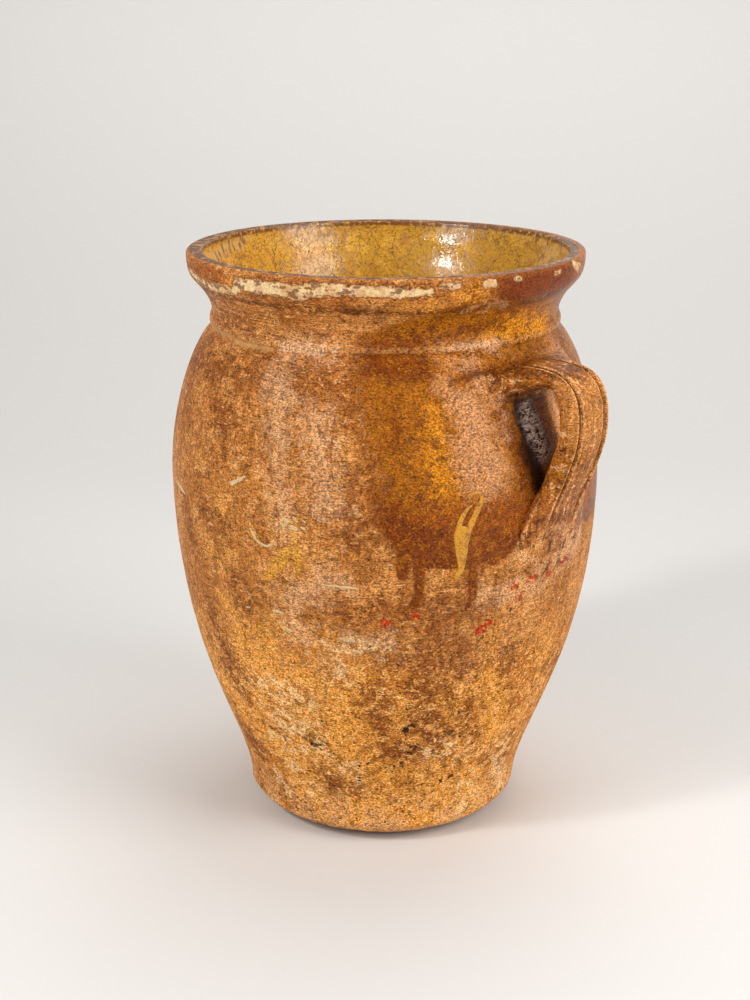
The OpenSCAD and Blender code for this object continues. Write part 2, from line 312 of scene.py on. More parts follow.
def wall_curve(s, inset, low, rise, steps_low, steps_high):
    """The wall from the foot over the belly to the neck, as a line that lies inset inside its face."""
    neck_h = s.height - s.neck_drop
    return curve(
        (s.foot_r - inset, low), (s.foot_r - inset, low + rise),
        (s.belly_r - inset, s.belly_h - s.belly_drop), (s.belly_r - inset, s.belly_h), steps_low,
    ) + curve(
        (s.belly_r - inset, s.belly_h), (s.belly_r - inset, s.belly_h + s.shoulder_rise),
        (s.neck_r - inset + 0.009, neck_h - 0.006), (s.neck_r - inset, neck_h), steps_high,
    )


def outline(s):
    """Radius and height of each point: under the foot, up outside, over the rim and down inside.
    Gives the points and the row where the inside begins."""
    neck_h, band = s.height - s.neck_drop, s.height - s.band_h
    throat, mouth = s.neck_r - s.wall, s.rim_r - s.land_w - 2 * s.lip_round
    under = [np.array((r, 0.0)) for r in np.linspace(0, s.rest_r, 6)]
    foot = curve(
        (s.rest_r, 0), (s.rest_r + 0.005, 0.0015), (s.foot_r - 0.001, s.foot_bevel * 0.5),
        (s.foot_r, s.foot_bevel), 14,
    )
    outside = wall_curve(s, 0, s.foot_bevel, s.foot_rise, 88, 42)
    ring_r = s.neck_r + s.ring_out * 1.33
    neck = curve(
        (s.neck_r, neck_h), (ring_r, neck_h + s.ring_h * 0.2), (ring_r, neck_h + s.ring_h * 0.7),
        (s.neck_r, neck_h + s.ring_h), 7,
    ) + curve(
        (s.neck_r, neck_h + s.ring_h), (s.neck_r, neck_h + s.ring_h + 0.005),
        (s.rim_r - s.band_back - 0.006, band - 0.006),
        (s.rim_r - s.band_back - s.groove_depth, band - 0.001), 14,
    )
    rim = curve(
        (s.rim_r - s.band_back, band + 0.0004), (s.rim_r - 0.0005, band + 0.003),
        (s.rim_r, band + 0.007), (s.rim_r, s.height - s.lip_round), 14,
    ) + arc((s.rim_r - s.lip_round, s.height - s.lip_round), s.lip_round, 15, 90, 5)
    across = np.linspace(s.rim_r - s.lip_round, mouth + s.lip_round, 6)
    land = [np.array((r, s.height)) for r in across[1:-1]]
    lip = arc((mouth + s.lip_round, s.height - s.lip_round), s.lip_round, 90, 180, 5)
    inner_rim = curve(
        (mouth, s.height - s.lip_round), (mouth - 0.001, s.height - 0.012), (throat, neck_h + 0.018),
        (throat, neck_h), 14,
    )
    corner = (s.foot_r - s.wall - s.floor_round, s.floor_t + s.floor_round)
    inner = arc(corner, s.floor_round, -90, 0, 6) + wall_curve(
        s, s.wall, corner[1], s.foot_rise * 0.35, 22, 16
    )
    floor = [np.array((r, s.floor_t)) for r in np.linspace(corner[0], 0, 5)[1:]]
    # the wheel left the crease under the neck soft
    outer = foot + outside + neck
    start, end = len(foot) + len(outside) - 5, len(foot) + len(outside) + 8
    for _ in range(4):
        held = list(outer)
        for i in range(start, end):
            outer[i] = (held[i - 1] + 2 * held[i] + held[i + 1]) / 4
    first = under + outer + rim + land
    return np.array(first + lip + inner_rim + inner[-2::-1] + floor), len(first) + 2


def wall_radius(s):
    """Height to outer radius of the wall, as a function."""
    points, lip_row = outline(s)
    # from the edge of the resting flat to the outer edge of the rim
    outer = points[5 : lip_row - 8]
    return lambda z: np.interp(z, outer[:, 1], outer[:, 0])


# ---- helpers for meshes and node trees


def add(tree, kind, inputs=(), **settings):
    """Adds a node, gives it its settings, links or sets its inputs, and gives back its outputs. A socket
    goes by its name, or by its number where that is shorter or the node has several of one name."""
    made = tree.nodes.new(kind)
    for key, value in settings.items():
        setattr(made, key, value)
    for socket, value in dict(inputs).items():
        if isinstance(value, bpy.types.NodeSocket):
            tree.links.new(value, made.inputs[socket])
        else:
            made.inputs[socket].default_value = value
    return made.outputs


def inside_marks(points, marks):
    """How far inside the nearest mark each point lies, in mm, and below zero outside every mark. A mark
    runs from one angle and height to another with round ends, as a brush leaves it."""
    flat = np.stack([np.arctan2(points[:, 1], points[:, 0]) * ARC_MM, points[:, 2] / MM], 1)
    best = np.full(len(points), -1000.0)
    for angle, low, end_angle, high, half in marks:
        start = np.array((math.radians(angle) * ARC_MM, low))
        run = np.array((math.radians(end_angle) * ARC_MM, high)) - start
        share = np.clip((flat - start) @ run / max(run @ run, 1e-9), 0, 1)
        best = np.maximum(best, half - np.linalg.norm(flat - start - share[:, None] * run, axis=1))
    return best


def keep_field(mesh, name, values):
    """Keeps one number on each point, for the materials to read."""
    mesh.attributes.new(name, "FLOAT", "POINT").data.foreach_set("value", values.astype(np.float32))


def mesh_object(name, points, faces):
    """A new object in the scene, made of points and faces."""
    mesh = bpy.data.meshes.new(name)
    mesh.from_pydata([tuple(p) for p in points], [], [tuple(f) for f in faces])
    made = bpy.data.objects.new(name, mesh)
    bpy.context.scene.collection.objects.link(made)
    return made


def tube(count, around):
    """Faces of a closed tube of rings: its side, and a face over each end."""
    side = [
        (i + k, i + (k + 1) % around, i + around + (k + 1) % around, i + around + k)
        for i in range(0, (count - 1) * around, around) for k in range(around)
    ]
    return side + [tuple(range(around))[::-1], tuple(range((count - 1) * around, count * around))]


def plain_mesh(obj, name):
    """The evaluated object as a new plain object. The old one is deleted."""
    graph = bpy.context.evaluated_depsgraph_get()
    mesh = bpy.data.meshes.new_from_object(obj.evaluated_get(graph), depsgraph=graph)
    mesh.name = name
    made = bpy.data.objects.new(name, mesh)
    bpy.context.scene.collection.objects.link(made)
    bpy.data.objects.remove(obj)
    made.name = name
    return made


def outward(mesh):
    """Turns every face to look out of the clay."""
    bm = bmesh.new()
    bm.from_mesh(mesh)
    bmesh.ops.recalc_face_normals(bm, faces=bm.faces)
    bm.to_mesh(mesh)
    bm.free()


def coordinates(mesh):
    """The points of a mesh, a row for each."""
    co = np.empty(len(mesh.vertices) * 3, np.float32)
    mesh.vertices.foreach_get("co", co)
    return co.reshape(-1, 3).astype(float)


# ---- the turned wall: a node tree that spins the outline


def wall_tree():
    """Spins the outline that it is given round +Z, closer set on the side that is seen most."""
    tree = bpy.data.node_groups.new("Turned wall", "GeometryNodeTree")
    for kind, names in (
        ("Geometry", ("Outline",)), ("Int", ("Columns", "Rows", "Inside row")),
        ("Float", ("Front", "Out of round", "Throwing rings", "Seed")),
        ("Material", ("Outside clay", "Inside glaze")),
    ):
        for name in names:
            tree.interface.new_socket(name, in_out="INPUT", socket_type="NodeSocket" + kind)
    tree.interface.new_socket("Geometry", in_out="OUTPUT", socket_type="NodeSocketGeometry")
    given = add(tree, "NodeGroupInput")
    grid = add(tree, "GeometryNodeMeshGrid", {
        0: 1.0, 1: 1.0,
        2: add(tree, "ShaderNodeMath", {0: given["Columns"], 1: 1.0}, operation="ADD")[0],
        3: given["Rows"],
    })
    here = add(tree, "ShaderNodeSeparateXYZ", {0: add(tree, "GeometryNodeInputPosition")[0]})
    # which row of the outline a point of the grid belongs to
    last = add(tree, "ShaderNodeMath", {0: given["Rows"], 1: 1.0}, operation="SUBTRACT")[0]
    row = here[1]
    for step, by in (("ADD", 0.5), ("MULTIPLY", last), ("ROUND", 0.0)):
        row = add(tree, "ShaderNodeMath", {0: row, 1: by}, operation=step)[0]
    sample = add(tree, "GeometryNodeSampleIndex", {
        "Geometry": given["Outline"], "Value": add(tree, "GeometryNodeInputPosition")[0], "Index": row,
    }, data_type="FLOAT_VECTOR", domain="POINT")
    spun = add(tree, "ShaderNodeSeparateXYZ", {0: sample[0]})
    # angle = 2 pi u + 0.35 sin(2 pi u), turned so that the close columns face the front
    turn = add(tree, "ShaderNodeMath", {0: here[0], 1: 0.5}, operation="ADD")[0]
    turn = add(tree, "ShaderNodeMath", {0: turn, 1: 2 * math.pi}, operation="MULTIPLY")[0]
    crowd = add(tree, "ShaderNodeMath", {0: turn}, operation="SINE")[0]
    angle = add(tree, "ShaderNodeMath", {0: crowd, 1: 0.35, 2: turn}, operation="MULTIPLY_ADD")[0]
    angle = add(tree, "ShaderNodeMath", {0: angle, 1: given["Front"]}, operation="ADD")[0]
    angle = add(tree, "ShaderNodeMath", {0: angle, 1: math.pi}, operation="SUBTRACT")[0]
    cosine, sine = (
        add(tree, "ShaderNodeMath", {0: angle}, operation=kind)[0] for kind in ("COSINE", "SINE")
    )
    # the wall strays from a true circle slowly round and up the pot, and carries throwing rings about
    # 7 mm apart, which tilt a little as they climb
    stray = 0.0
    for depth, climb, scale, detail in (
        ("Out of round", 9.0, 0.9, 1.0), ("Throwing rings", 140.0, 1.0, 0.0),
    ):
        tall = add(tree, "ShaderNodeMath", {0: spun[2], 1: climb}, operation="MULTIPLY")[0]
        lobes = add(tree, "ShaderNodeCombineXYZ", {0: cosine, 1: sine, 2: tall})[0]
        wave = add(tree, "ShaderNodeTexNoise", {0: lobes, 1: given["Seed"], 2: scale, 3: detail},
                   noise_dimensions="4D")[0]
        wave = add(tree, "ShaderNodeMapRange", {0: wave, 1: 0.0, 2: 1.0, 3: -2.0, 4: 2.0},
                   clamp=False)[0]
        wave = add(tree, "ShaderNodeMath", {0: wave, 1: given[depth]}, operation="MULTIPLY")[0]
        stray = add(tree, "ShaderNodeMath", {0: stray, 1: wave}, operation="ADD")[0]
    # the flats under the foot and on the floor stay true
    held = add(tree, "ShaderNodeMapRange", {0: spun[0], 1: 0.056, 2: 0.07, 3: 0.0, 4: 1.0})[0]
    radius = add(tree, "ShaderNodeMath", {0: stray, 1: held, 2: spun[0]}, operation="MULTIPLY_ADD")[0]
    x, y = (
        add(tree, "ShaderNodeMath", {0: radius, 1: part}, operation="MULTIPLY")[0] for part in (cosine, sine)
    )
    place = add(tree, "ShaderNodeCombineXYZ", {0: x, 1: y, 2: spun[2]})[0]
    within = add(tree, "ShaderNodeMath", {0: row, 1: given["Inside row"]}, operation="GREATER_THAN")[0]
    kept = add(tree, "GeometryNodeStoreNamedAttribute", {
        "Geometry": grid[0], "Name": "inner", "Value": within,
    }, data_type="FLOAT", domain="FACE")[0]
    moved = add(tree, "GeometryNodeSetPosition", {"Geometry": kept, "Position": place})[0]
    closed = add(tree, "GeometryNodeMergeByDistance", {"Geometry": moved, "Distance": 1e-5})[0]
    real = add(tree, "GeometryNodeRealizeInstances", {0: closed})[0]
    clay = add(tree, "GeometryNodeSetMaterial", {"Geometry": real, "Material": given["Outside clay"]})[0]
    is_in = add(tree, "GeometryNodeInputNamedAttribute", {"Name": "inner"}, data_type="FLOAT")[0]
    is_in = add(tree, "FunctionNodeCompare", {0: is_in, 1: 0.5},
                data_type="FLOAT", operation="GREATER_THAN")[0]
    glazed = add(tree, "GeometryNodeSetMaterial", {
        "Geometry": clay, "Selection": is_in, "Material": given["Inside glaze"],
    })[0]
    add(tree, "NodeGroupOutput", {0: glazed})
    return tree


class JAR_OT_turn_wall(bpy.types.Operator):
    """Turns the wall from its outline"""
    bl_idname = "jar.turn_wall"
    bl_label = "Turn the wall"

    def execute(self, context):
        s = context.scene.jar_shape
        points, lip_row = outline(s)
        line = mesh_object("wall_outline", [(r, 0, z) for r, z in points], [])
        tree = wall_tree()
        turned = line.modifiers.new("Turned wall", "NODES")
        turned.node_group = tree
        socket = {i.name: i.identifier for i in tree.interface.items_tree if i.in_out == "INPUT"}
        for name, value in (
            ("Columns", s.columns), ("Rows", len(points)), ("Inside row", lip_row),
            ("Front", math.radians(FRONT)), ("Out of round", s.out_of_round),
            ("Throwing rings", s.throwing), ("Seed", 3.0),
            ("Outside clay", bpy.data.materials["worn_earthenware"]),
            ("Inside glaze", bpy.data.materials["crackled_yellow_glaze"]),
        ):
            turned[socket[name]] = value
        wall = plain_mesh(line, "turned_wall")
        outward(wall.data)
        return {"FINISHED"}


# ---- the strap


def eased(x):
    """From 0 to 1 with a soft start and a soft end."""
    x = np.clip(x, 0, 1)
    return x * x * (3 - 2 * x)


def strap_line(s, strap):
    """Middle line of the strap as radius and height: over the top, out, and down to its tail."""
    radius = wall_radius(s)
    reach = float(radius(strap.mid)) + strap.gap + strap.thick / 2
    start = float(radius(strap.top)) - s.wall * 0.75
    end = float(radius(strap.low)) - strap.tail_t / 2 - 0.0004
    return np.array([(start, strap.top)] + curve(
        (start, strap.top), (reach - 0.008, strap.top + 0.005), (reach, strap.top + 0.004),
        (reach, strap.mid), 60,
    ) + curve(
        (reach, strap.mid), (reach, strap.mid - 0.015),
        (float(radius(strap.low)) + 0.0025, strap.low + 0.034), (end, strap.low), 60,
    ))


class JAR_OT_pull_strap(bpy.types.Operator):
    """Pulls the ribbed strap and spreads its two ends"""
    bl_idname = "jar.pull_strap"
    bl_label = "Pull the strap"

    def execute(self, context):
        s, strap = context.scene.jar_shape, context.scene.strap_shape
        line = strap_line(s, strap)
        count, around = len(line), 144
        # along the strap, its root spreads first, then it bends over, and its tail spreads last
        share = np.linspace(0, 1, count)
        root = 1 - eased(share / 0.22)
        bend = 1 - eased(abs(share - 0.2) / 0.25)
        tail = eased((share - 0.72) / 0.28)
        width = strap.width + (strap.root_w - strap.width) * root + (strap.tail_w - strap.width) * tail
        thick = strap.thick + (strap.bend - strap.thick) * bend + (strap.tail_t - strap.thick) * tail
        travel = np.gradient(line, axis=0)
        travel /= np.linalg.norm(travel, axis=1)[:, None]
        out = np.stack([-travel[:, 1], travel[:, 0]], 1)
        # the section is a rounded square that flattens to a lens at both ends
        ends = np.maximum(root, tail)
        square, lens = 3, 1.7
        power = (square + (lens - square) * ends)[:, None]
        a = np.arange(around) * 2 * math.pi / around
        across = width[:, None] / 2 * np.sign(np.cos(a)) * abs(np.cos(a)) ** (2 / power)
        lift = thick[:, None] / 2 * np.sign(np.sin(a)) * abs(np.sin(a)) ** (2 / power)
        # two finger grooves, each with a ridge beside it, run along the outer face and die out at the ends
        groove = sum(
            np.exp(-(((across - g) / 0.0011) ** 2))
            - 0.45 * np.exp(-(((across - g + side * 0.0024) / 0.001) ** 2))
            for g, side in ((strap.groove_a, 1), (strap.groove_b, -1))
        )
        lift -= np.where(np.sin(a) > 0, groove, 0) * strap.groove_d * ((1 - root) * (1 - tail**2))[:, None]
        # the spread ends wrap round the wall
        wrap = ends[:, None] * across**2 / (2 * line[:, :1])
        points = np.stack([
            line[:, :1] + lift * out[:, :1] - wrap, across, line[:, 1:] + lift * out[:, 1:],
        ], 2).reshape(-1, 3)
        made = mesh_object("strap", points, tube(count, around))
        made.data.materials.append(bpy.data.materials["worn_earthenware"])
        made.data.materials.append(bpy.data.materials["crackled_yellow_glaze"])
        outward(made.data)
        return {"FINISHED"}


# ---- joining the strap to the wall


def nearest(tree, points):
    """Signed distance from each point to a closed surface, and the surface's normal there."""
    far, normals = np.empty(len(points)), np.empty((len(points), 3))
    for i, p in enumerate(points):
        place, normal, _, gap = tree.find_nearest(p)
        normals[i] = normal
        far[i] = gap if (Vector(p) - place).dot(normal) >= 0 else -gap
    return far, normals


def tree_of(mesh):
    """A mesh as a tree that finds its nearest face."""
    return BVHTree.FromPolygons(
        [tuple(v) for v in coordinates(mesh)], [tuple(p.vertices) for p in mesh.polygons]
    )


def join_smoothly(mesh, wall, strap, shape):
    """Moves the points near the joint on to the rounded union of the two surfaces, and gives back which
    points those are."""
    co = coordinates(mesh)
    x, y, z = co.T
    # only the clay round the strap
    near = (x > 0.06) & (abs(y) < 0.06) & (z > 0.13) & (z < 0.262) & (np.hypot(x, y) > 0.07)
    near = np.where(near)[0]
    trees = [tree_of(part.data) for part in (wall, strap)]
    p = co[near]
    for step in range(4):
        (dw, nw), (ds, ns) = (nearest(t, p) for t in trees)
        if step == 0:
            # the inside of the pot takes no part
            radial = p[:, :2] / np.linalg.norm(p[:, :2], axis=1)[:, None]
            inner_face = (nw[:, :2] * radial).sum(1) < -0.2
            # the joint is broad outside the strap, narrow in the finger gap and narrowest at the shoulder
            facing = (ns[:, :2] * radial).sum(1)
            size = shape.fillet_in + (shape.fillet - shape.fillet_in) * eased((facing + 0.4) / 0.8)
            size *= 1 - 0.7 * eased((p[:, 2] - 0.25) / 0.01)
        h = np.clip(0.5 + 0.5 * (ds - dw) / size, 0, 1)
        value = dw * h + ds * (1 - h) - size * h * (1 - h)
        slope = nw * h[:, None] + ns * (1 - h)[:, None]
        square = np.maximum((slope**2).sum(1), 0.25)
        move = -slope * (value / square)[:, None]
        move[inner_face | (abs(ds - dw) > size)] = 0
        p = p + np.clip(move, -0.003, 0.003)
    co[near] = p
    set_points(mesh, co)
    return near


def relaxed(mesh, co, weights, rounds):
    """The points moved towards the mean of their neighbours, as far as their weights let them."""
    edges = np.empty(len(mesh.edges) * 2, np.int32)
    mesh.edges.foreach_get("vertices", edges)
    a, b = edges.reshape(-1, 2).T
    ends, others = np.concatenate([a, b]), np.concatenate([b, a])
    count = np.maximum(np.bincount(ends, minlength=len(co)), 1)
    co = co.copy()
    for _ in range(rounds):
        mean = np.stack([np.bincount(ends, co[others, k], len(co)) / count for k in range(3)], 1)
        co += (mean - co) * (0.5 * weights)[:, None]
    return co


def smoothed(mesh, co, rounds):
    """How far each point moves when the whole mesh is relaxed."""
    return relaxed(mesh, co, np.ones(len(co)), rounds) - co


def vertex_normals(mesh):
    normals = np.empty(len(mesh.vertices) * 3, np.float32)
    mesh.vertices.foreach_get("normal", normals)
    return normals.reshape(-1, 3).astype(float)


def set_points(mesh, co):
    mesh.vertices.foreach_set("co", co.astype(np.float32).ravel())
    mesh.update()


def ribbon(surface, run, proud):
    """Points and faces of a closed strip of slip that lies on a surface, thick in the middle and thin at
    its edges, along a run of angle, height and half width. Its underside is sunk into the surface."""
    run = np.array(run, float)
    flat = np.stack([np.radians(run[:, 0]) * ARC_MM, run[:, 1]], 1)
    gone = np.concatenate([[0], np.cumsum(np.linalg.norm(np.diff(flat, axis=0), axis=1))])
    # a station every 0.7 mm
    count = max(int(gone[-1] / 0.7), 4)
    at = np.linspace(0, gone[-1], count)
    middle = np.stack([np.interp(at, gone, flat[:, k]) for k in (0, 1)], 1)
    for _ in range(2):
        middle[1:-1] = (middle[:-2] + 2 * middle[1:-1] + middle[2:]) / 4
    half = np.interp(at, gone, run[:, 2])
    travel = np.gradient(middle, axis=0)
    travel /= np.linalg.norm(travel, axis=1)[:, None]
    # round ends: the first and last stations narrow, just past the ends of the run
    end = np.minimum(at, gone[-1] - at) / np.maximum(half, 0.3)
    taper = np.sqrt(np.clip(1 - (1 - np.clip(end + 0.12, 0, 1)) ** 2, 0.02, 1))
    wave = np.array([noise.noise((m[0] * 0.5, m[1] * 0.5, 4.0)) for m in middle])
    half = half * taper * (1 + 0.22 * wave)
    across = np.linspace(-1, 1, 9)
    points = []
    for m, d, h, grown in zip(middle, travel, half, taper):
        top, under = [], []
        for a in across:
            u, z = m[0] - d[1] * a * h, m[1] + d[0] * a * h
            aim = Vector((-math.cos(u / ARC_MM), -math.sin(u / ARC_MM), 0))
            hit, normal, _, _ = surface.ray_cast(Vector((0, 0, z * MM)) - aim * 0.3, aim)
            top.append(hit + normal * (proud * grown * math.sqrt(max(1 - a * a, 0)) + 0.00002))
            under.append(hit - normal * 0.0005)
        points += top + under[::-1]
    return points, tube(count, 2 * len(across))


class JAR_OT_join_clay(bpy.types.Operator):
    """Joins the strap to the wall, smooths the joint and wears the edges"""
    bl_idname = "jar.join_clay"
    bl_label = "Join and wear"

    def execute(self, context):
        s, strap_shape = context.scene.jar_shape, context.scene.strap_shape
        wall, strap = bpy.data.objects["turned_wall"], bpy.data.objects["strap"]
        both = wall.copy()
        both.data = wall.data.copy()
        context.scene.collection.objects.link(both)
        union = both.modifiers.new("Union", "BOOLEAN")
        union.operation, union.object, union.solver = "UNION", strap, "MANIFOLD"
        jar = plain_mesh(both, "dressed_jar")
        if len(jar.data.polygons) <= len(wall.data.polygons):
            raise RuntimeError("the strap did not join the wall")
        near = join_smoothly(jar.data, wall, strap, strap_shape)
        co = coordinates(jar.data)
        radius = wall_radius(s)
        # points close to the joint, where the union left uneven faces
        off = np.hypot(co[near, 0], co[near, 1]) - radius(co[near, 2])
        weights = np.zeros(len(co))
        weights[near] = np.clip(1 - abs(off - 0.003) / 0.006, 0, 1)
        co = relaxed(jar.data, co, weights, 6)
        # the foot is worn and a little chipped all round, more under its edge than above
        out = np.hypot(co[:, 0], co[:, 1])
        for i in np.where((co[:, 2] < 0.02) & (out > 0.06))[0]:
            bite = 0.5 * noise.noise(co[i] * 70) + 0.5 * noise.noise(co[i] * 190 + 7)
            worn = 0.0008 * (0.6 + bite) * float(eased((0.02 - co[i, 2]) / 0.008))
            co[i, :2] *= 1 - worn / out[i]
        # the rim stands a little off the axis
        lean = s.lean * co[:, 2] / s.height
        co[:, 0] += lean * math.cos(RIGHT)
        co[:, 1] += lean * math.sin(RIGHT)
        set_points(jar.data, co)
        # the union leaves a few slivers and folded faces along the joint
        clean = bmesh.new()
        clean.from_mesh(jar.data)
        bmesh.ops.triangulate(clean, faces=[f for f in clean.faces if len(f.verts) > 4])
        bmesh.ops.dissolve_degenerate(clean, dist=0.00005, edges=clean.edges)
        alike = {}
        for face in clean.faces:
            alike.setdefault(frozenset(face.verts), []).append(face)
        folded = [face for faces in alike.values() if len(faces) > 1 for face in faces]
        bmesh.ops.delete(clean, geom=folded, context="FACES")
        clean.to_mesh(jar.data)
        clean.free()
        jar.data.shade_smooth()
        for spare in (wall, strap):
            bpy.data.objects.remove(spare)
        return {"FINISHED"}


class JAR_OT_lay_slip(bpy.types.Operator):
    """Lays the raised slip: one ochre run with its dots, and a few flecks of cream"""
    bl_idname = "jar.lay_slip"
    bl_label = "Lay the slip"

    def execute(self, context):
        jar = bpy.data.objects["dressed_jar"]
        surface = tree_of(jar.data)
        whole = bmesh.new()
        whole.from_mesh(jar.data)
        for runs, material, proud in (
            (SLIP_RUN, "ochre_slip", 0.0005), (CREAM_FLECKS, "cream_slip", 0.0002),
        ):
            jar.data.materials.append(bpy.data.materials[material])
            for run in runs:
                strip = mesh_object("strip", *ribbon(surface, run, proud))
                outward(strip.data)
                for face in strip.data.polygons:
                    face.material_index = len(jar.data.materials) - 1
                strip.data.shade_smooth()
                whole.from_mesh(strip.data)
                bpy.data.objects.remove(strip)
        whole.to_mesh(jar.data)
        whole.free()
        return {"FINISHED"}


class JAR_OT_map_finishes(bpy.types.Operator):
    """Keeps on the points of the jar where glaze, slip, rubbing, soot and dust lie, and where shade, sheen
    and highlights are painted
    """
    bl_idname = "jar.map_finishes"
    bl_label = "Map the finishes"

    def execute(self, context):
        s, strap = context.scene.jar_shape, context.scene.strap_shape
        jar = bpy.data.objects["dressed_jar"]
        mesh = jar.data
        co = coordinates(mesh)
        angle = np.degrees(np.arctan2(co[:, 1], co[:, 0]))
        height = co[:, 2] / MM
        low, left = np.array(GLAZE_LOW, float).T, np.array(GLAZE_LEFT, float).T
        glaze = np.minimum(height - np.interp(angle, *low), (angle - np.interp(height, *left)) * DEGREE_MM)
        glaze = np.minimum(glaze, (GLAZE_RIGHT - angle) * DEGREE_MM)
        fields = {"glaze": np.maximum(glaze, inside_marks(co, DRIPS))}
        fields.update((name, inside_marks(co, marks)) for name, marks in MARKS.items())
        for name, values in fields.items():
            keep_field(mesh, name, np.clip(values, -FAR_MM, FAR_MM))
        # the strap and the clay smeared round it, and how hollow each place is beside the clay round it
        stand = np.hypot(co[:, 0], co[:, 1]) - wall_radius(s)(co[:, 2])
        keep_field(mesh, "stand", np.where(co[:, 0] > 0.05, np.clip(stand / MM, 0, FAR_MM), 0))
        keep_field(mesh, "hollow", (smoothed(mesh, co, 5) * vertex_normals(mesh)).sum(1) / MM)
        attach(jar, "root")
        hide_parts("jar")
        return {"FINISHED"}


# ---- materials


def start_material(name, grains=()):
    """A new material with an empty tree, its coordinates, and one noise for each grain that it asks for
    by width and height in mm, and detail."""
    made = bpy.data.materials.new(name)
    made.use_nodes = True
    tree = made.node_tree
    tree.nodes.clear()
    spot = add(tree, "ShaderNodeTexCoord")["Object"]
    noises = []
    for wide, tall, detail in grains:
        near = add(tree, "ShaderNodeMapping", {
            0: spot, 3: (1 / (wide * MM), 1 / (wide * MM), 1 / (tall * MM)),
        })[0]
        noises.append(add(tree, "ShaderNodeTexNoise", {
            "Vector": near, "Scale": 1.0, "Detail": detail, "Roughness": 0.62,
        })[0])
    return tree, spot, noises


def end_material(tree, base, gloss, height, strength, **more):
    """The surface itself, with its relief in mm."""
    bump = add(tree, "ShaderNodeBump", {"Strength": strength, "Distance": MM, "Height": height})[0]
    shader = add(tree, "ShaderNodeBsdfPrincipled", {
        "Base Color": base, "Roughness": gloss, "Normal": bump, **more,
    })
    add(tree, "ShaderNodeOutputMaterial", {0: shader[0]})


def paint_over(tree, under, coats):
    """Lays each coat over the last. A coat is a colour, or a value, and the maps that say where it
    lies. Each map goes from bare at its first number to covered at its second, and covers at most
    its third. A coat lies where all its maps let it."""
    for tint, maps in coats:
        if isinstance(tint, str):
            tint = linear(tint)
        cover = None
        for source, bare, covered, *most in maps:
            here = add(tree, "ShaderNodeMapRange", {
                0: source, 1: bare, 2: covered, 4: most[0] if most else 1.0,
            }, interpolation_type="SMOOTHSTEP")[0]
            if cover:
                here = add(tree, "ShaderNodeMath", {0: cover, 1: here}, operation="MULTIPLY")[0]
            cover = here
        if isinstance(tint, float):
            under = add(tree, "ShaderNodeMix", {0: cover, 2: under, 3: tint}, data_type="FLOAT")[0]
        else:
            under = add(tree, "ShaderNodeMix", {0: cover, 6: under, 7: tint}, data_type="RGBA")[2]
    return under


